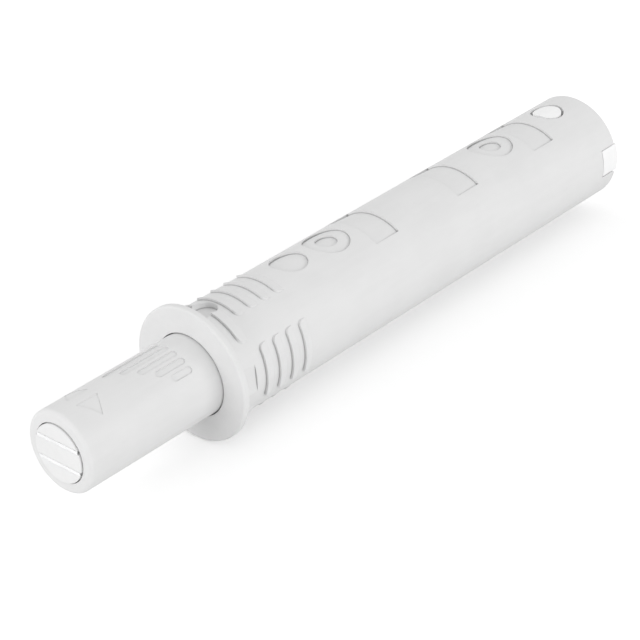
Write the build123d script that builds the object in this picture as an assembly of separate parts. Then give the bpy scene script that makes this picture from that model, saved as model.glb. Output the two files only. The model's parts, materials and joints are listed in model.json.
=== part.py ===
from build123d import *
import os
from math import asin, cos, degrees, radians, sin, tan

# Push to open catch, drill-in pattern with a magnet tip.  Millimetres.
# Origin: centre of the collar's seating face.  +Y runs along the catch into the drilling,
# +Z points out of the rear locking hole, +X out of the rear notch.
# Angles round the body are measured from +Z towards +X.

# ---- housing: tube, collar and barbs
body_d = 9.8
body_len = 50.1
body_wall = 1.225
rear_round = 0.05
collar_lip = 1.045
collar_t = 0.55
collar_round = 0.2
barb_first = 3.05
barb_pitch = 1.52
barb_count = 4
barb_rise = 0.22
barb_len = 0.9
barb_crest = 0.08
barb_root = 0.3
barb_half_angle = 28.6
barb_corner = 0.35
barb_sets = (0, 90, 180, 270)

# locking lugs, slot and flat straight behind the collar
lug_start = 1.47
lug_len = 1.0
lug_half_angle = 53.5
slot_w = 2.1
slot_end = 2.9
slot_depth = 0.5
flat_depth = 0.15
flat_end = 2.05

# shallow features along the top of the tube
bare_recess_y = 11.6
bare_recess_d = 3.3
bare_recess_depth = 0.2
ring_recess_ys = (16.2, 38.05)
ring_recess_d = 4.1
ring_recess_depth = 0.18
ring_hole_d = 1.95
ring_hole_depth = 0.36
window_first = 19.2
window_pitch = 10.7
window_count = 3
window_len = 2.85
window_half_angle = 36.7
window_depth_front = 0.05
window_depth_rear = 0.22

# locking hole and notch, both measured from the rear end
lock_hole_in = 3.7
lock_hole_d = 3.05
notch_w = 2.65
notch_len = 1.95
notch_round = 0.4

# grooves and channel inside the bore
groove_w = 2.2
groove_depth = 0.5
channel_w = 4.0
channel_floor = 0.95
channel_lead = 1.0

# ---- plunger sleeve
protrusion = 14.7
sleeve_gap = 0.1
sleeve_wall = 0.725
tip_wall = 1.2
tip_round = 0.4
eye_lip = 0.24
snap_groove_depth = 0.2
snap_groove_len = 0.9
sleeve_turn = 1.5
mark_w = 0.6
mark_depth = 0.1
mark_rear = 12.05
mark_pitch = 15
mark_longest = 6.1
mark_step = 1.0
mark_count = 5
arrow_len = 2.2
arrow_depth = 0.05
arrow_from_tip = 1.8
arrow_base_angle = 8
arrow_point_angle = 38

# setting thread between sleeve and slider: one mark is one millimetre
steps_out = 3
steps_in = 1
peg_d = 1.0
peg_root = 0.3
peg_from_sleeve_rear = 4.5
helix_clear = 0.1
helix_depth = 0.4
helix_open = 0.2

# ---- magnet tip
insert_proud = 0.12
eye_gap = 0.08
flange_gap = 0.1
insert_turn = 2.8
holder_len = 12.0
flange_play = 0.05
holder_flange_t = 0.8
socket_wall_x = 0.65
socket_wall_z = 1.05
socket_gap = 0.06
socket_end_gap = 0.3
holder_round_share = 0.33
pocket_wall_x = 0.53
pocket_wall_z = 0.57
plate_t = 0.3
plate_proud = 0.03
plate_nose_len = 1.1
plate_nose_inset = 0.015
plate_shank_len = 9.0
magnet_len = 7.5
magnet_inset = 0.05
assembly_gap = 0.02

# ---- slider
slide_gap = 0.1
stem_front_in = 5.7
shoulder_gap = 0.2
shoulder_len = 3.8
spring_seat_in = 0.8
guide_w = 2.0
guide_len = 3.0
guide_gap = 0.12
tail_side_cut = 0.575

# ---- push-push track and its follower
flush_gap = 0.05
latch_back = 2.0
wire_d = 0.6
wire_channel_gap = 0.25
wire_track_gap = 0.25
pin_reach = 0.5
pin_from_slider_end = 2.0
follower_bend = 0.42
lane_w = 0.8
lane_swing = 1.35
lane_front_wall = 1.6
track_depth = 0.75
lane_step = 0.12
rest_end = 0.05
tooth_back = 0.1
seat_len = 0.8
head_rear = 0.6

# ---- rear plug, rod and spring
plug_len = 8.3
plug_gap = 0.05
stop_gap = 0.3
rib_w = 2.0
rib_in = 0.5
rib_gap = 0.1
keel_from_pivot = 1.5
pip_d = 2.6
pip_sunk = 0.05
pip_root = 0.6
pip_ramp_from = 1.0
pip_ramp_angle = 55
notch_lug_gap = 0.08
notch_lug_sunk = 0.03
notch_lug_proud = 0.2
tongue_z = 2.25
tongue_slit = 0.9
tongue_len = 6.2
core_d = 3.6
core_depth = 2.0
pivot_in = 3.3
pivot_clear = 0.05
pivot_lug = 0.4
pivot_end_gap = 0.1
run_gap = 0.15
swing_gap = 0.2
rod_reach = 19.5
rod_grip = 3.8
rod_point = 0.3
spring_track_wall = 0.5
spring_gap = 0.1
rod_gap = 0.15
spring_wire = 0.4
spring_turns = 20

# ---- sizes that follow
body_r = body_d / 2
bore_r = body_r - body_wall
collar_r = body_r + collar_lip
groove_r = bore_r + groove_depth
channel_z = channel_floor - body_r
sleeve_r = bore_r - sleeve_gap
sleeve_bore_r = sleeve_r - sleeve_wall
eye_r = sleeve_bore_r - eye_lip
snap_groove_r = sleeve_bore_r + snap_groove_depth
stem_r = sleeve_bore_r - slide_gap
tail_r = bore_r - slide_gap
helix_pitch = 360 / mark_pitch * mark_step

# places along the axis, from the tip inwards and from the rear end forwards
tip_y = -protrusion
face_y = tip_y - insert_proud
stem_front = tip_y + stem_front_in
holder_rear = tip_y + holder_len
plate_seat_y = tip_y + plate_nose_len
socket_end = holder_rear + steps_in * mark_step + socket_end_gap
push_travel = protrusion - collar_t - steps_in * mark_step - flush_gap
plug_face_y = body_len - plug_len
slider_end = plug_face_y - stop_gap - push_travel
follower_y = slider_end - pin_from_slider_end
pivot_y = plug_face_y + pivot_in
tail_y = follower_y - push_travel - lane_front_wall
shoulder_y = tail_y - shoulder_len
spring_seat_y = shoulder_y + spring_seat_in
sleeve_rear = shoulder_y - shoulder_gap - steps_in * mark_step
peg_y = sleeve_rear - peg_from_sleeve_rear

# heights of the push-push track under the slider
follower_z = channel_z + wire_channel_gap + wire_d / 2
track_flat_z = follower_z + wire_d / 2 + wire_track_gap
track_floor_z = track_flat_z + track_depth
follower_swing = asin(lane_swing / (pivot_y - follower_y))

# sections of the magnet tip, and of the spring and rod inside the slider
holder_w = 2 * (stem_r - socket_wall_x)
holder_t = 2 * (stem_r - socket_wall_z)
holder_round = holder_round_share * holder_t
pocket_w = holder_w - 2 * pocket_wall_x
pocket_t = holder_t - 2 * pocket_wall_z
plate_offset = (pocket_t - plate_t - assembly_gap) / 2
spring_bore_r = -track_floor_z - spring_track_wall
spring_r = spring_bore_r - spring_gap
rod_r = spring_r - spring_wire - rod_gap - assembly_gap / 2
pivot_top = -rod_r - pivot_lug


# ---------------------------------------------------------------- helpers
def radial_plane(angle):
    """Plane through the axis of the catch: local x is the radius, local y runs along +Y."""
    a = radians(angle)
    return Plane(origin=(0, 0, 0), x_dir=(sin(a), 0, cos(a)), z_dir=(-cos(a), 0, sin(a)))


def turned(points):
    """Solid of revolution round the catch's axis from (radius, y) points."""
    return revolve(make_face(radial_plane(0) * Polyline(*points, close=True)), axis=Axis.Y)


def sector(points, angle_from, angle_to):
    """The same, over part of a turn."""
    face = make_face(radial_plane(angle_from) * Polyline(*points, close=True))
    return revolve(face, axis=Axis.Y, revolution_arc=angle_to - angle_from)


def ring(r_in, r_out, y0, y1):
    """Tube or, with r_in of 0, a solid cylinder along the axis."""
    return turned([(r_in, y0), (r_out, y0), (r_out, y1), (r_in, y1)])


def block(x0, x1, y0, y1, z0, z1):
    return Pos((x0 + x1) / 2, (y0 + y1) / 2, (z0 + z1) / 2) * Box(x1 - x0, y1 - y0, z1 - z0)


def radial_peg(d, r0, r1, y, angle):
    """Round peg that stands on the axis at y and points along the given angle."""
    peg = Pos(0, 0, (r0 + r1) / 2) * Cylinder(d / 2, r1 - r0)
    return Pos(0, y, 0) * Rot(0, angle, 0) * peg


def about_y(angle, shape):
    return Rot(0, angle, 0) * shape


def top_plan(z):
    """Sketch plane seen from above: local x is +X, local y is +Y."""
    return Plane(origin=(0, 0, z), x_dir=(1, 0, 0), z_dir=(0, 0, 1))


def rim_edges(solid, radius, y):
    """Circular edges of that radius round the axis at that place along it."""
    return solid.edges().filter_by(GeomType.CIRCLE).filter_by(
        lambda e: abs(e.radius - radius) < 0.001 and abs(e.center().Y - y) < 0.001)


# ---------------------------------------------------------------- housing
def tooth(y, length):
    """Saw tooth all round the tube: steep face towards the collar, slope down to the rear."""
    root = body_r - barb_root
    crest = body_r + barb_rise
    return turned([(root, y), (crest, y), (crest, y + barb_crest), (body_r, y + length), (root, y + length)])


def barb(y, length, half_angle, side):
    """Stretch of tooth on one side, with ends along the mould's draw and rounded front corners."""
    width = 2 * body_r * sin(radians(half_angle))
    plan_len = length + barb_corner
    plan = Pos(0, y + plan_len / 2) * RectangleRounded(width, plan_len, barb_corner)
    return tooth(y, length) & about_y(side, extrude(top_plan(0) * plan, amount=collar_r))


def skin(depth):
    """Outer layer of the tube down to a depth: a cutter held to it leaves a curved floor."""
    return ring(body_r - depth, collar_r, -collar_t, body_len + 1)


def window(y):
    """Blind window part of the way round, whose floor slopes down to a step at its rear end."""
    y_end = y + window_len
    corners = [(body_r - window_depth_front, y), (collar_r, y), (collar_r, y_end),
               (body_r - window_depth_rear, y_end)]
    return sector(corners, -window_half_angle, window_half_angle)


def notch_cutter():
    """Open-ended notch whose mouth flares out through a round corner on each side."""
    mouth = body_len - notch_round
    plan = Pos(0, body_len - notch_len / 2 + 0.5) * Rectangle(notch_w, notch_len + 1)
    for side in (-1, 1):
        flare = Pos(side * (notch_w + notch_round) / 2, mouth + notch_round / 2)
        plan += flare * Rectangle(notch_round, notch_round)
        plan -= Pos(side * (notch_w / 2 + notch_round), mouth) * Circle(notch_round)
    return extrude(top_plan(0) * plan, amount=collar_r)


def housing():
    tube = turned([(bore_r, -collar_t), (collar_r, -collar_t), (collar_r, 0),
                   (body_r, 0), (body_r, body_len), (bore_r, body_len)])
    tube = fillet(rim_edges(tube, collar_r, -collar_t), collar_round)
    tube = fillet(rim_edges(tube, body_r, body_len), rear_round)

    for side in barb_sets:
        for i in range(barb_count):
            y = barb_first + i * barb_pitch
            tube += barb(y, barb_len, barb_half_angle, side)
    for side in (0, 180):
        tube += barb(lug_start, lug_len, lug_half_angle, side)
        slot_round_y = slot_end - slot_w / 2
        slot = block(-slot_w / 2, slot_w / 2, 0, slot_round_y, body_r - slot_depth, collar_r)
        slot += radial_peg(slot_w, body_r - slot_depth, collar_r, slot_round_y, 0)
        tube -= about_y(side, slot)
    for side in (90, 270):
        tube -= about_y(side, block(-body_r, body_r, 0, flat_end, body_r - flat_depth, collar_r))

    tube -= radial_peg(bare_recess_d, 0, collar_r, bare_recess_y, 0) & skin(bare_recess_depth)
    for y in ring_recess_ys:
        tube -= radial_peg(ring_recess_d, 0, collar_r, y, 0) & skin(ring_recess_depth)
        tube -= radial_peg(ring_hole_d, 0, collar_r, y, 0) & skin(ring_hole_depth)
    for i in range(window_count):
        tube -= window(window_first + i * window_pitch)

    tube -= radial_peg(lock_hole_d, 0, collar_r, body_len - lock_hole_in, 0)
    tube -= about_y(90, notch_cutter())

    for side in (90, 270):
        groove = block(-groove_w / 2, groove_w / 2, spring_seat_y, body_len + 1, 0, groove_r)
        tube -= about_y(side, groove)
    channel_y = follower_y - channel_lead
    tube -= block(-channel_w / 2, channel_w / 2, channel_y, body_len + 1, channel_z, 0)
    return tube


# ---------------------------------------------------------------- plunger sleeve
def helical_slot(width, r0, r1, y0, y1, angle_at_y0):
    """Round-ended helical slot cut from radius r0 to r1, one mark pitch of turn per mark step."""
    angle_at_y1 = angle_at_y0 + (y1 - y0) * 360 / helix_pitch
    axis_frame = Plane(origin=(0, y0, 0), x_dir=(0, 0, 1), z_dir=(0, 1, 0))
    path = Helix(pitch=helix_pitch, height=y1 - y0, radius=(r0 + r1) / 2)
    start = Plane(origin=path @ 0, x_dir=(1, 0, 0), z_dir=path % 0)
    profile = start * Rectangle(r1 - r0, width)
    slot = about_y(angle_at_y0, axis_frame.location * sweep(profile, path=path, is_frenet=True))
    slot += radial_peg(width, r0, r1, y0, angle_at_y0)
    return slot + radial_peg(width, r0, r1, y1, angle_at_y1)


def setting_mark(i):
    """Long round-ended mark; each is one step shorter than the one before."""
    half = mark_w / 2
    rear = tip_y + mark_rear - half
    front = tip_y + mark_rear - mark_longest + i * mark_step + half
    mark = block(-half, half, front, rear, 0, body_r)
    mark += radial_peg(mark_w, 0, body_r, front, 0) + radial_peg(mark_w, 0, body_r, rear, 0)
    return about_y((i - 1) * mark_pitch, mark)


def arrow(side):
    """Triangle that points round the sleeve, to one side or the other."""
    y = tip_y + arrow_from_tip
    base = side * sleeve_r * sin(radians(arrow_base_angle))
    point = side * sleeve_r * sin(radians(arrow_point_angle))
    outline = Polyline((base, y), (base, y + arrow_len), (point, y + arrow_len / 2), close=True)
    return extrude(top_plan(0) * make_face(outline), amount=body_r)


def plunger_sleeve():
    snap_y = tip_y + tip_wall
    snap_end = snap_y + snap_groove_len
    sleeve = turned([
        (eye_r, tip_y), (sleeve_r, tip_y), (sleeve_r, sleeve_rear), (sleeve_bore_r, sleeve_rear),
        (sleeve_bore_r, snap_end), (snap_groove_r, snap_end), (snap_groove_r, snap_y), (eye_r, snap_y)])
    sleeve = fillet(rim_edges(sleeve, sleeve_r, tip_y), tip_round)
    for cuts, depth in (([setting_mark(i) for i in range(mark_count)], mark_depth),
                        ([arrow(-1), arrow(1)], arrow_depth)):
        for cut in cuts:
            sleeve -= about_y(sleeve_turn, cut) & ring(sleeve_r - depth, body_r, tip_y, sleeve_rear)
    # the slider's peg reaches from one end of the slot to the other over the whole setting range
    peg_hole = peg_d + 2 * helix_clear
    slot_y, slot_y_end = peg_y - steps_in * mark_step, peg_y + steps_out * mark_step
    for side in (0, 180):
        sleeve -= helical_slot(peg_hole, sleeve_bore_r - helix_open, sleeve_bore_r + helix_depth,
                               slot_y, slot_y_end, side - steps_in * mark_pitch)
    return sleeve


# ---------------------------------------------------------------- magnet tip
def insert_bar(width, thick, y0, y1, offset=0.0, corner=0.0):
    """Bar along the axis with its width across the tip, turned with the insert."""
    section = RectangleRounded(width, thick, corner) if corner else Rectangle(width, thick)
    plane = Plane(origin=(0, y0, 0), x_dir=(1, 0, 0), z_dir=(0, 1, 0))
    return about_y(insert_turn, extrude(plane * (Pos(0, -offset) * section), amount=y1 - y0))


def magnet_holder():
    nose_r = eye_r - eye_gap
    flange_r = snap_groove_r - flange_gap
    flange_y = tip_y + tip_wall + flange_play
    stem_y = flange_y + holder_flange_t
    holder = turned([(0, face_y), (nose_r, face_y), (nose_r, flange_y), (flange_r, flange_y),
                     (flange_r, stem_y), (0, stem_y)])
    holder += insert_bar(holder_w, holder_t, stem_y, holder_rear, corner=holder_round)
    slit = plate_t + assembly_gap
    for side in (-1, 1):
        holder -= insert_bar(2 * eye_r, slit, face_y - 1, plate_seat_y, offset=side * plate_offset)
    # the pocket runs out through the rear, where the magnet goes in
    return holder - insert_bar(pocket_w, pocket_t, plate_seat_y, holder_rear + 1)


def pole_plate(side):
    """T-shaped steel plate: the wide nose is what shows on the tip."""
    nose_r = eye_r - eye_gap
    nose_w = 2 * (nose_r ** 2 - (plate_offset + plate_t / 2) ** 2) ** 0.5 - plate_nose_inset
    seat = plate_seat_y - assembly_gap
    offset = side * plate_offset
    nose = insert_bar(nose_w, plate_t, face_y - plate_proud, seat, offset)
    return nose + insert_bar(pocket_w - 2 * assembly_gap, plate_t, seat, seat + plate_shank_len, offset)


def magnet():
    thick = 2 * plate_offset - plate_t - assembly_gap
    y0 = plate_seat_y + assembly_gap
    return insert_bar(pocket_w - 2 * (assembly_gap + magnet_inset), thick, y0, y0 + magnet_len)


# ---------------------------------------------------------------- slider
def lane(x0, t0, x1, t1, width):
    """Round-ended lane between two places of the follower, t being how far the slider is in."""
    a, b = (x0, follower_y - t0), (x1, follower_y - t1)
    length = ((a[0] - b[0]) ** 2 + (a[1] - b[1]) ** 2) ** 0.5
    tilt = degrees(asin((b[0] - a[0]) / length))
    strip = Pos((a[0] + b[0]) / 2, (a[1] + b[1]) / 2) * Rot(0, 0, tilt) * Rectangle(width, length)
    return strip + Pos(*a) * Circle(width / 2) + Pos(*b) * Circle(width / 2)


def cam_track():
    """Heart-shaped push-push track: in along one lane, a seat in the middle, home along the other."""
    s, half, end = lane_swing, lane_w / 2, push_travel
    latch = push_travel - latch_back
    closing = lane(0, -rest_end, s, end, lane_w)
    opening = lane(0, -rest_end, -s, end, lane_w)
    seat = lane(0, latch, 0, latch + seat_len, lane_w)
    # the head's front wall is two saw teeth: the first sends the pin from the closing lane
    # towards the seat, the second from the seat to the opening lane
    head = [(s + half, latch + head_rear), (s + half, end), (0.75 * s, end + half),
            (0.2 * s, end - tooth_back), (0, end + half), (-0.35 * s, end + half),
            (-0.55 * s, end - tooth_back), (-s, end + half), (-s - half, end),
            (-s - half, latch + head_rear), (-half, latch + seat_len), (half, latch + seat_len)]
    outline = Polyline(*[(x, follower_y - t) for x, t in head], close=True)
    plan = closing + opening + seat + make_face(outline)
    track = extrude(top_plan(track_floor_z) * plan, amount=-2 * track_depth)
    # raised floor halfway along each lane, so that the pin passes it one way only
    for side in (-1, 1):
        step = lane(side * s * 0.35, end * 0.35, side * s * 0.8, end * 0.8, lane_w)
        track -= extrude(top_plan(track_floor_z) * step, amount=-lane_step)
    return track


def slider():
    core = turned([(0, stem_front), (stem_r, stem_front), (stem_r, shoulder_y), (tail_r, shoulder_y),
                   (tail_r, slider_end), (0, slider_end)])
    tail_half_w = tail_r - tail_side_cut
    for x0, x1 in ((tail_half_w, body_r), (-body_r, -tail_half_w)):
        core -= block(x0, x1, tail_y, slider_end, -body_r, body_r)
    core -= block(-body_r, body_r, tail_y, slider_end, -body_r, track_flat_z)
    for side in (90, 270):
        core += about_y(side, block(-guide_w / 2, guide_w / 2, spring_seat_y, spring_seat_y + guide_len,
                                    stem_r, groove_r - guide_gap))
    for side in (0, 180):
        core += radial_peg(peg_d, stem_r - peg_root, sleeve_bore_r + helix_depth - helix_clear, peg_y, side)
    core -= insert_bar(holder_w + 2 * socket_gap, holder_t + 2 * socket_gap, stem_front - 1,
                       socket_end, corner=holder_round + socket_gap)
    core -= ring(0, spring_bore_r, spring_seat_y, slider_end + 1)
    return core - cam_track()


# ---------------------------------------------------------------- rear plug and what it holds
def ramped_pip():
    """Snap pip for the locking hole: round with the tube on top, its front edge a lead-in ramp."""
    pip_y = body_len - lock_hole_in
    pip_top = body_r - pip_sunk
    pip = radial_peg(pip_d, bore_r - pip_root, body_r, pip_y, 0)
    pip &= ring(0, pip_top, plug_face_y, body_len)
    ramp = Box(2 * pip_d, 2 * pip_d, 2 * pip_d, align=(Align.CENTER, Align.MAX, Align.MIN))
    return pip - Pos(0, pip_y - pip_ramp_from, pip_top) * Rot(pip_ramp_angle, 0, 0) * ramp


def rear_plug():
    plug = ring(0, bore_r - plug_gap, plug_face_y, body_len)
    for side in (90, 270):
        plug += about_y(side, block(-rib_w / 2, rib_w / 2, plug_face_y + rib_in, body_len,
                                    0, groove_r - rib_gap))
    plug += block(-channel_w / 2 + rib_gap, channel_w / 2 - rib_gap, pivot_y + keel_from_pivot, body_len,
                  channel_z + rib_gap, 0)
    lug_w = notch_w - 2 * notch_lug_gap
    notch_lug = about_y(90, block(-lug_w / 2, lug_w / 2, body_len - notch_len + notch_lug_gap,
                                  body_len + notch_lug_proud, 0, body_r))
    plug += notch_lug & ring(0, body_r - notch_lug_sunk, plug_face_y, body_len + 1)
    plug += ramped_pip()
    plug -= block(-body_r, body_r, plug_face_y - 1, plug_face_y + tongue_len,
                  tongue_z - tongue_slit, tongue_z)
    plug -= ring(0, core_d / 2, body_len - core_depth, body_len + 1)
    plug -= ring(0, rod_r + assembly_gap / 2, plug_face_y - 1, plug_face_y + rod_grip)
    # slot for the follower's run and the hole that its rear end turns in
    swing_half = (pivot_y - plug_face_y) * tan(follower_swing) + wire_d / 2 + swing_gap
    run_top = follower_z + wire_d / 2 + run_gap
    plug -= block(-swing_half, swing_half, plug_face_y - 1, pivot_y + wire_d, -body_r, run_top)
    pivot_hole = Cylinder(wire_d / 2 + pivot_clear, pivot_top + body_r,
                          align=(Align.CENTER, Align.CENTER, Align.MIN))
    return plug - Pos(0, pivot_y, -body_r) * pivot_hole


def track_follower():
    path = FilletPolyline((0, follower_y, track_flat_z + pin_reach), (0, follower_y, follower_z),
                          (0, pivot_y, follower_z), (0, pivot_y, pivot_top - pivot_end_gap),
                          radius=follower_bend)
    return sweep(Plane(origin=path @ 0, z_dir=path % 0) * Circle(wire_d / 2), path=path)


def spring_rod():
    front, rear = plug_face_y - rod_reach, plug_face_y + rod_grip
    return turned([(0, front), (rod_r - rod_point, front), (rod_r, front + rod_point),
                   (rod_r, rear), (0, rear)])


def main_spring():
    """Open coil between the slider's seat and the plug; its wire is drawn with eight sides."""
    y0 = spring_seat_y + spring_wire / 2
    height = plug_face_y - spring_wire / 2 - y0
    path = Helix(pitch=height / spring_turns, height=height, radius=spring_r - spring_wire / 2)
    section = Plane(origin=path @ 0, z_dir=path % 0) * RegularPolygon(spring_wire / 2, 8)
    coil = sweep(section, path=path, is_frenet=True)
    return Plane(origin=(0, y0, 0), x_dir=(0, 0, 1), z_dir=(0, 1, 0)).location * coil


parts = {
    "housing": housing(),
    "plunger_sleeve": plunger_sleeve(),
    "magnet_holder": magnet_holder(),
    "pole_plate_upper": pole_plate(1),
    "pole_plate_lower": pole_plate(-1),
    "magnet": magnet(),
    "slider": slider(),
    "track_follower": track_follower(),
    "rear_plug": rear_plug(),
    "spring_rod": spring_rod(),
    "main_spring": main_spring(),
}

os.makedirs("parts", exist_ok=True)
for name, solid in parts.items():
    export_step(solid, f"parts/{name}.step")
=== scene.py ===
# %% [markdown]
# # Push to open catch
# A drill-in catch for a cabinet door: a barbed white tube with a thin collar, and in it a sprung
# plunger whose tip holds a magnet between two steel plates.  The solids come from the packed
# model and keep their size and place.  This notebook gives them their finishes, winds the spring
# as round wire, and sets up the light and the camera.

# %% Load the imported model
import json
from math import cos, pi, radians, sin

import bpy
from mathutils import Matrix, Vector


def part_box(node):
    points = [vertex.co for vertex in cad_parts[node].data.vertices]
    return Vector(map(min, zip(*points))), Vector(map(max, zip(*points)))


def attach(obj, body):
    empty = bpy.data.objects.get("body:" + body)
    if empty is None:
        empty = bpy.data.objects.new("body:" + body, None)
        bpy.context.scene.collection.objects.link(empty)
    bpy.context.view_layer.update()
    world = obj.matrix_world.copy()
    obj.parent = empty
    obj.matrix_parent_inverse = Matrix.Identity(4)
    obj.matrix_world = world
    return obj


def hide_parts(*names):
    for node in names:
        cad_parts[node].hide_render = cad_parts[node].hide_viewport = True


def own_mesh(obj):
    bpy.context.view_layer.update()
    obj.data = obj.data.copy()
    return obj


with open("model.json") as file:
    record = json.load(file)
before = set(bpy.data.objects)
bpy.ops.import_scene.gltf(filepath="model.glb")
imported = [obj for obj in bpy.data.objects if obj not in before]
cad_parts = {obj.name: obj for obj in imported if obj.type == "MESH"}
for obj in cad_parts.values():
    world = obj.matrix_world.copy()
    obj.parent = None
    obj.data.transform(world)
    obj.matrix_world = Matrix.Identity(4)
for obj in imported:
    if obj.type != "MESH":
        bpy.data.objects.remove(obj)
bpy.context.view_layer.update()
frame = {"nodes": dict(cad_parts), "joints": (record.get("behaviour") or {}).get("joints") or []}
nodes = frame["nodes"]
mm = 0.001
print("pieces:", ", ".join(sorted(nodes)))

# %% [markdown]
# ## Places to work from
# The floor and the lamps are set out from the catch itself, so the places that matter are read
# once from the boxes of its pieces: the front of the plunger's sleeve, the rear of the tube, and
# the lowest point of the collar.  The catch's axis is the line x = 0, z = 0, and +Y runs into the
# drilling.

# %% Read the places from the frame
housing_low, housing_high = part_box("housing")
sleeve_front_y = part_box("plunger_sleeve")[0][1]
rear_y = housing_high[1]
collar_bottom_z = housing_low[2]
print("front at y =", round(sleeve_front_y / mm, 2), "rear at y =", round(rear_y / mm, 2),
      "bottom at z =", round(collar_bottom_z / mm, 2), "mm")

# %% [markdown]
# ## Shader maths as plain expressions
# A material is a graph of nodes, and long graphs are hard to read.  The small class below wraps
# one output socket, so that `1 - mask * 0.3` adds the Math nodes by itself.  A number doesn't know
# how to subtract a signal, so Python then asks the signal, by the reflected form of the operator.

# %% A socket that can be calculated with
class Signal:
    """One output socket of a node tree, usable in arithmetic."""

    def __init__(self, shop, socket):
        self.shop = shop
        self.socket = socket

    def _math(self, operation, *values, clamp=False):
        settings = {"operation": operation, "use_clamp": clamp}
        return self.shop.node("ShaderNodeMath", settings, dict(enumerate(values)))

    def __add__(self, other):
        return self._math("ADD", self, other)

    def __radd__(self, other):
        return self._math("ADD", other, self)

    def __sub__(self, other):
        return self._math("SUBTRACT", self, other)

    def __rsub__(self, other):
        return self._math("SUBTRACT", other, self)

    def __mul__(self, other):
        return self._math("MULTIPLY", self, other)

    def __rmul__(self, other):
        return self._math("MULTIPLY", other, self)

    def most(self, other):
        return self._math("MAXIMUM", self, other)

    def clamped(self):
        return self._math("ADD", self, 0.0, clamp=True)


print("made Signal, for shader maths with +, - and *")

# %% [markdown]
# ## One way to add any node
# A workshop belongs to one node tree, that of a material or of the world.  Its `node` adds any
# node by its type, its settings and its inputs, where an input is a plain value or a signal.
# Colours go through `mix`, because a Math node would turn them grey.  `shown` is a mask for what
# stands behind the catch: it is 1 for rays from the camera, in reflections and through glass, and
# 0 for the light that falls on the catch, so a backdrop can look white without lighting it.

# %% The workshop for one node tree
class Workshop:
    """Short ways to add nodes to one node tree."""

    def __init__(self, tree):
        self.tree = tree

    def node(self, kind, settings=None, inputs=None, output=0):
        """Any node: its settings are made first, and then the values or links of its inputs."""
        made = self.tree.nodes.new(kind)
        for key, value in (settings or {}).items():
            setattr(made, key, value)
        for key, value in (inputs or {}).items():
            if isinstance(value, Signal):
                self.tree.links.new(value.socket, made.inputs[key])
            else:
                made.inputs[key].default_value = value
        return Signal(self, made.outputs[output])

    def mix(self, low, high, factor):
        """Colour between two colours by a factor."""
        factor_in, low_in, high_in, colour_out = 0, 6, 7, 2  # the Mix node's sockets for colours
        return self.node("ShaderNodeMix", {"data_type": "RGBA"},
                         {factor_in: factor, low_in: low, high_in: high}, output=colour_out)

    def shown(self):
        """1 where the camera, a reflection or glass looks, and 0 for the light on the catch."""
        rays = ("Is Camera Ray", "Is Glossy Ray", "Is Transmission Ray")
        seen, mirrored, through = [self.node("ShaderNodeLightPath", output=ray) for ray in rays]
        return seen.most(mirrored).most(through)


print("made Workshop, to add nodes to a tree")

# %% [markdown]
# ## What all the finishes need
# A finish is a workshop with a material and its Principled shader.  Its noise is sized in
# millimetres, in the piece's own coordinates, so that the grain stays on the surface when the
# plunger moves.  `fade` is a soft threshold.  `relief` turns a height into a bump of a known
# depth, and a Bevel node under it rounds the edges in the shading, because neither a mould nor a
# punch leaves a razor edge.

# %% The workshop for one finish
class Finish(Workshop):
    """A new material with one Principled shader; constants go straight on the shader's sockets."""

    def __init__(self, name, constants):
        self.material = bpy.data.materials.new(name)
        self.material.use_nodes = True
        super().__init__(self.material.node_tree)
        self.shader = self.tree.nodes["Principled BSDF"]
        for socket_name, value in constants.items():
            self.shader.inputs[socket_name].default_value = value
        self.place = self.node("ShaderNodeTexCoord", output="Object")

    def feed(self, socket_name, signal):
        self.tree.links.new(signal.socket, self.shader.inputs[socket_name])

    def noise(self, size_mm, stretch=(1, 1, 1), detail=3.0, roughness=0.55):
        """Noise from 0 to 1 whose lumps are about size_mm across, drawn out by stretch."""
        per_metre = [1 / (size_mm * mm * s) for s in stretch]
        scaled = self.node("ShaderNodeVectorMath", {"operation": "MULTIPLY"},
                           {0: self.place, 1: per_metre})
        return self.node("ShaderNodeTexNoise", None,
                         {"Vector": scaled, "Scale": 1.0, "Detail": detail, "Roughness": roughness})

    def fade(self, value, low, high, out_low=0.0, out_high=1.0):
        """Smooth step from out_low to out_high as the value goes from low to high."""
        return self.node("ShaderNodeMapRange", {"interpolation_type": "SMOOTHSTEP"},
                         {"Value": value, "From Min": low, "From Max": high,
                          "To Min": out_low, "To Max": out_high})

    def relief(self, height, depth_mm, edge_mm):
        """Bump of depth_mm from a height of 0 to 1, with edges that look rounded by edge_mm."""
        rounded = self.node("ShaderNodeBevel", {"samples": 6}, {"Radius": edge_mm * mm})
        bump = {"Height": height, "Distance": depth_mm * mm, "Strength": 1.0, "Normal": rounded}
        self.feed("Normal", self.node("ShaderNodeBump", None, bump))


def darker(tone, share):
    """A tone taken down to a share of itself, as a colour for a socket."""
    return (*[channel * share for channel in tone], 1)


print("made Finish, with noise, soft thresholds and relief")

# %% [markdown]
# ## Moulded plastic
# The tube, the plunger, its insert, the slider and the rear plug are injection moulded in white
# acetal.  Up close such a part is never one flat colour: the mould's spark-eroded skin gives a
# fine grain, and the melt leaves soft streaks along the flow.  Creases get painted shade on top:
# their colour is darkened where shade falls.  Grain, streaks and this painted crease shade are one
# function here, because all the mouldings share them and differ only in tone, in how matt they are
# and in how dark their painted crease shade is.  An Ambient Occlusion node finds the creases: it
# tells how open the surface is to its surroundings.

# %% One function for all the mouldings
streak_share = 0.975  # tone of a streak, as a share of the full tone
painted_shade_share = 0.4  # tone that the painted crease shade darkens towards, as the same share
painted_shade_reach = 0.25 * mm  # how near a wall has to be to close a surface in and give it painted shade
closed_face, open_face = 0.4, 0.8  # openness where the painted crease shade is at its darkest, and where it ends
smoother, rougher = 0.05, 0.07  # how far grain and streaks move the roughness down and up
mould_edge_mm = 0.05


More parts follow.
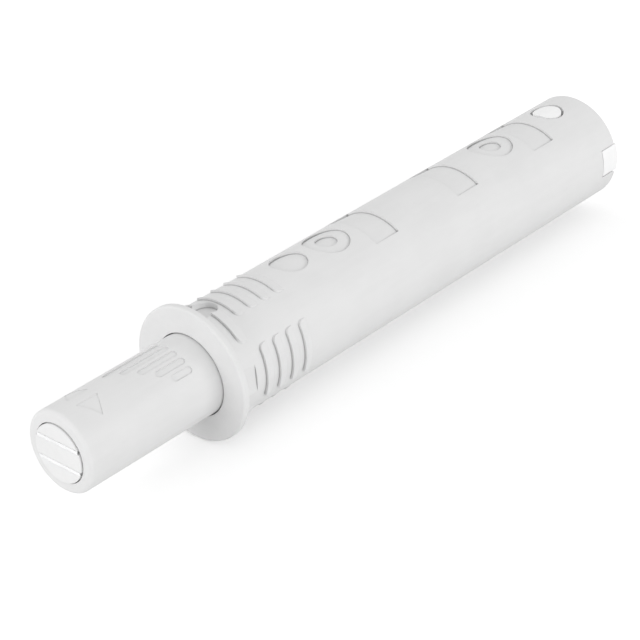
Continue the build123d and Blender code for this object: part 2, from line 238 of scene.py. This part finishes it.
def moulding(name, tone, roughness, grain_mm, grain_depth_mm, painted_shade_strength):
    """Satin moulded plastic with painted shade in its creases; tone is that of its open faces, and
    the last argument says how far the painted shade darkens the creases.
    """
    shop = Finish(name, {"Roughness": roughness, "IOR": 1.48, "Specular IOR Level": 0.25})
    cloud = shop.noise(size_mm=4.0, detail=2.0)
    streak = shop.noise(size_mm=0.6, stretch=(1, 9, 1))
    flow = shop.fade(cloud * 0.6 + streak * 0.4, low=0.35, high=0.62)
    body = shop.mix(darker(tone, streak_share), (*tone, 1), flow)

    # painted shade: the base colour is darkened where nearby walls close the surface in, where
    # shade falls
    openness = shop.node("ShaderNodeAmbientOcclusion", {"samples": 8, "only_local": True},
                         {"Distance": painted_shade_reach}, output="AO")
    painted_shade_mask = shop.fade(openness, closed_face, open_face, out_low=painted_shade_strength, out_high=0.0)
    shop.feed("Base Color", shop.mix(body, darker(tone, painted_shade_share), painted_shade_mask))

    grain = shop.noise(grain_mm, detail=4.0, roughness=0.6)
    shop.feed("Roughness", shop.fade(grain * 0.5 + streak * 0.5, low=0.3, high=0.7,
                                     out_low=roughness - smoother, out_high=roughness + rougher))
    shop.relief(grain, grain_depth_mm, mould_edge_mm)
    return shop.material


print("creases reach", round(painted_shade_reach / mm, 2), "mm from a wall")

# %% [markdown]
# Five plastics come out of it.  The housing is the most matt, with the coarsest grain and the
# strongest painted crease shade, where barbs, windows and recesses meet the tube.  The plunger's
# sleeve slides, so it is finer, and its marks are shallow and get almost no painted shade.  The
# insert in the tip and the rear plug are of a whiter plastic, and the slider, which runs in
# grooves, is the smoothest.

# %% Mix the five plastics
# the last figure of each is how dark its painted crease shade is
housing_plastic = moulding("housing_plastic", tone=(0.79, 0.79, 0.79), roughness=0.50,
                           grain_mm=0.09, grain_depth_mm=0.005, painted_shade_strength=0.75)
sleeve_plastic = moulding("sleeve_plastic", tone=(0.785, 0.785, 0.785), roughness=0.46,
                          grain_mm=0.07, grain_depth_mm=0.004, painted_shade_strength=0.05)
insert_plastic = moulding("insert_plastic", tone=(0.835, 0.835, 0.835), roughness=0.40,
                          grain_mm=0.06, grain_depth_mm=0.003, painted_shade_strength=0.2)
plug_plastic = moulding("plug_plastic", tone=(0.96, 0.96, 0.96), roughness=0.42,
                        grain_mm=0.06, grain_depth_mm=0.003, painted_shade_strength=0.1)
slider_plastic = moulding("slider_plastic", tone=(0.80, 0.80, 0.79), roughness=0.38,
                          grain_mm=0.06, grain_depth_mm=0.003, painted_shade_strength=0.25)
print("plastics made:", [m.name for m in bpy.data.materials if m.name.endswith("plastic")])

# %% [markdown]
# ## Metal parts
# The pole plates are punched from mild steel and zinc plated: bright, slightly blue, with faint
# rolling lines along the strip, and the spring's rod is plated with them.  The magnet is a
# sintered block under nickel, duller and with tiny pits.  The spring and the follower are drawn
# wire, so their fine lines run along the catch.  All three are the same idea with other figures:
# a metal whose roughness and tone follow a noise that is drawn out along the direction of working.

# %% Worked metal
dull_share = 0.88  # tone of worn metal, as a share of bright metal
line_mm, line_depth_mm = 0.05, 0.002
pit_mm = 0.12
buffed, dulled = 0.05, 0.12  # how far polish and wear move the roughness down and up
metal_edge_mm = 0.03


def worked_metal(name, tone, roughness, stretch, pits=0.0):
    """Metal with lines drawn out by stretch, and with small dull pits if pits is over 0."""
    shop = Finish(name, {"Metallic": 1.0, "Roughness": roughness})
    lines = shop.noise(line_mm, stretch=stretch, detail=4.0)
    cloud = shop.noise(size_mm=2.5, detail=2.0)
    polish = lines * 0.5 + cloud * 0.5
    if pits:
        speck = shop.fade(shop.noise(pit_mm, detail=1.0), low=0.66, high=0.72)
        polish = (polish - speck * pits).clamped()
    bright = shop.fade(polish, low=0.3, high=0.6)
    shop.feed("Base Color", shop.mix(darker(tone, dull_share), (*tone, 1), bright))
    shop.feed("Roughness", shop.fade(polish, low=0.25, high=0.7,
                                     out_low=roughness + dulled, out_high=roughness - buffed))
    shop.relief(lines, line_depth_mm, metal_edge_mm)
    return shop.material


zinc_plate = worked_metal("zinc_plate", tone=(0.90, 0.905, 0.91), roughness=0.24,
                          stretch=(12, 1, 1))
magnet_nickel = worked_metal("magnet_nickel", tone=(0.74, 0.72, 0.69), roughness=0.34,
                             stretch=(1, 3, 1), pits=0.8)
drawn_wire = worked_metal("drawn_wire", tone=(0.58, 0.58, 0.59), roughness=0.30,
                          stretch=(1, 14, 1))
print("metals made:", zinc_plate.name, magnet_nickel.name, drawn_wire.name)

# %% [markdown]
# ## Dressing the pieces
# Each imported piece keeps its mesh and only gets its material, so nothing can drift from the
# imported model.

# %% Give each piece its finish
finish_of = {
    "housing": housing_plastic,
    "plunger_sleeve": sleeve_plastic,
    "magnet_holder": insert_plastic,
    "rear_plug": plug_plastic,
    "slider": slider_plastic,
    "pole_plate_upper": zinc_plate,
    "pole_plate_lower": zinc_plate,
    "magnet": magnet_nickel,
    "spring_rod": zinc_plate,
    "track_follower": drawn_wire,
    "main_spring": drawn_wire,
}
for node_name, material in finish_of.items():
    piece = nodes[node_name]
    piece.data.materials.clear()
    piece.data.materials.append(material)
print("dressed", len(finish_of), "pieces")

# %% [markdown]
# ## The main spring
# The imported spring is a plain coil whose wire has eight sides, enough for its weight.  The real
# one is round drawn wire with its last turn at each end wound flat, so that it sits square on the
# slider and on the plug.  A curve with a round bevel is the natural tool: its points climb a helix
# whose pitch eases to one wire's width at both ends.

# %% How a spring climbs
closed_turns = 1.25


def coil_climb(turn, turns, length, wire):
    """Height of the coil after some turns: the closed turns at the ends climb one wire each."""
    closed = closed_turns * wire
    if turn < closed_turns:
        return turn * wire
    if turn > turns - closed_turns:
        return length - (turns - turn) * wire
    return closed + (length - 2 * closed) * (turn - closed_turns) / (turns - 2 * closed_turns)


print("closed turns at each end:", closed_turns)

# %% Wind the spring
spring_low, spring_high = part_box("main_spring")
spring_length = spring_high[1] - spring_low[1]
spring_turns = 20
points_per_turn = 24
wire_radius = 0.2 * mm
coil_radius = spring_high[0] - wire_radius


def wind_spring():
    """Round-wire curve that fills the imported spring's box."""
    curve = bpy.data.curves.new("main_spring_wire", "CURVE")
    curve.dimensions = "3D"
    curve.bevel_depth = wire_radius
    curve.bevel_resolution = 3
    curve.use_fill_caps = True
    line = curve.splines.new("POLY")
    line.points.add(spring_turns * points_per_turn)
    for i, point in enumerate(line.points):
        turn = i / points_per_turn
        angle = 2 * pi * turn
        climb = coil_climb(turn, spring_turns, spring_length - 2 * wire_radius, 2 * wire_radius)
        point.co = (coil_radius * sin(angle), spring_low[1] + wire_radius + climb,
                    coil_radius * cos(angle), 1)
    return curve


print("spring:", spring_turns, "turns on", round(spring_length / mm, 1), "mm")

# %% [markdown]
# The curve is turned into a mesh, which stands for the imported coil and stays with the housing.
# Its length with the plunger pushed in is worked out and printed; the mesh keeps its wound length.

# %% Put the spring in its place
coil = bpy.data.objects.new("main_spring_curve", wind_spring())
bpy.context.scene.collection.objects.link(coil)
bpy.context.view_layer.update()
wound = coil.evaluated_get(bpy.context.evaluated_depsgraph_get())
spring_mesh = bpy.data.meshes.new_from_object(wound)
bpy.data.objects.remove(coil)
spring_mesh.shade_smooth()
spring_mesh.materials.clear()
spring_mesh.materials.append(drawn_wire)

spring_piece = bpy.data.objects.new("round_wire_spring", spring_mesh)
bpy.context.scene.collection.objects.link(spring_piece)
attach(spring_piece, "body")
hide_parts("main_spring")
stroke = next(joint["range_m"][1] for joint in frame["joints"] if joint["name"] == "push_slide")
(spring_length - stroke) / spring_length
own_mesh(spring_piece)
print("spring:", len(spring_mesh.polygons), "faces, and",
      round((spring_length - stroke) / mm, 1), "mm long with the plunger in")

# %% [markdown]
# ## The floor
# The catch lies on a plain pale floor, as a sample on a table.  The floor's own grey catches the
# soft shadow, and a little emission lifts it to white only where it is seen, so that the lift
# doesn't light the catch from below.

# %% Lay the floor
floor_lift = 0.32
floor_size = 3.0
floor_gap = 0.02 * mm  # keeps the collar and the floor from sharing a face
floor_grey, floor_pale = (0.83, 0.83, 0.83, 1), (0.87, 0.87, 0.87, 1)


def pale_floor():
    """Pale grey to the light, and lifted to white where the camera, a reflection or glass looks."""
    shop = Finish("pale_floor", {"Roughness": 0.9, "Emission Strength": 1.0})
    speckle = shop.noise(size_mm=0.8, detail=2.0)
    shop.feed("Base Color", shop.mix(floor_grey, floor_pale, speckle))
    lift = (floor_lift, floor_lift, floor_lift, 1)
    shop.feed("Emission Color", shop.mix((0, 0, 0, 1), lift, shop.shown()))
    return shop.material


bpy.ops.mesh.primitive_plane_add(size=floor_size, location=(0, 0, collar_bottom_z - floor_gap))
floor = bpy.context.object
floor.name = "floor"
floor.data.materials.append(pale_floor())
print("floor at z =", round(floor.location.z / mm, 3), "mm")

# %% [markdown]
# ## The light
# White plastic shows its form only by small steps of grey, so an even white surround gives most
# of the light.  Three wide soft lamps add the rest, the strongest from the right: the side of the
# tube is the brightest, the top is a step darker, and the grooves keep their shadow.

# %% Set the surround
surround_strength = 0.658


def white_surround():
    """World that lights the catch evenly, and is plain white where it is seen."""
    world = bpy.data.worlds.new("studio")
    bpy.context.scene.world = world
    world.use_nodes = True
    shop = Workshop(world.node_tree)
    background = shop.tree.nodes["Background"]
    background.inputs["Color"].default_value = (1, 1, 1, 1)
    level = surround_strength + (1 - surround_strength) * shop.shown()
    shop.tree.links.new(level.socket, background.inputs["Strength"])


white_surround()
print("light from the surround:", surround_strength)

# %% Set the lamps
middle = Vector((0, (sleeve_front_y + rear_y) / 2, 0))
lamp_distance = 0.6


def bearing(azimuth, elevation):
    """Direction out from the catch, by degrees: azimuth 0 is where the plunger points, 90 is +X."""
    a, e = radians(azimuth), radians(elevation)
    return Vector((sin(a) * cos(e), -cos(a) * cos(e), sin(e)))


def soft_lamp(name, azimuth, elevation, width, height, watts):
    """Oblong area lamp that looks at the middle of the catch."""
    lamp = bpy.data.lights.new(name, "AREA")
    lamp.shape = "RECTANGLE"
    lamp.size, lamp.size_y = width, height
    lamp.energy = watts
    holder = bpy.data.objects.new(name, lamp)
    bpy.context.scene.collection.objects.link(holder)
    out = bearing(azimuth, elevation)
    holder.location = middle + out * lamp_distance
    holder.rotation_euler = out.to_track_quat("Z", "Y").to_euler()


soft_lamp("right_light", azimuth=105, elevation=20, width=0.50, height=0.24, watts=1.20)
soft_lamp("front_light", azimuth=-5, elevation=12, width=0.30, height=0.24, watts=1.00)
soft_lamp("left_light", azimuth=-80, elevation=40, width=0.35, height=0.35, watts=0.60)

# %% [markdown]
# ## The camera
# It looks at the plunger's end from the front right and above, with a long lens, so the tube
# tapers only a little towards its rear.  A small roll sets the slope at which the catch lies
# across the view.

# %% Place the camera
look_at = Vector((-0.58, 15.2, -2.52)) * mm
look_distance = 199.5 * mm
view_azimuth, view_elevation, view_roll = 44.76, 28.55, -5.59  # degrees
lens_mm, sensor_mm = 133.0, 36

camera_data = bpy.data.cameras.new("camera")
camera_data.sensor_width = sensor_mm
camera_data.lens = lens_mm
camera = bpy.data.objects.new("camera", camera_data)
bpy.context.scene.collection.objects.link(camera)
outward = bearing(view_azimuth, view_elevation)
upright = outward.to_track_quat("Z", "Y").to_matrix().to_4x4()
camera.matrix_world = (Matrix.Translation(look_at + outward * look_distance) @ upright
                       @ Matrix.Rotation(radians(view_roll), 4, "Z"))
bpy.context.scene.camera = camera
bpy.context.scene.view_settings.view_transform = "Standard"
print("camera at", [round(c / mm, 1) for c in camera.matrix_world.translation], "mm")
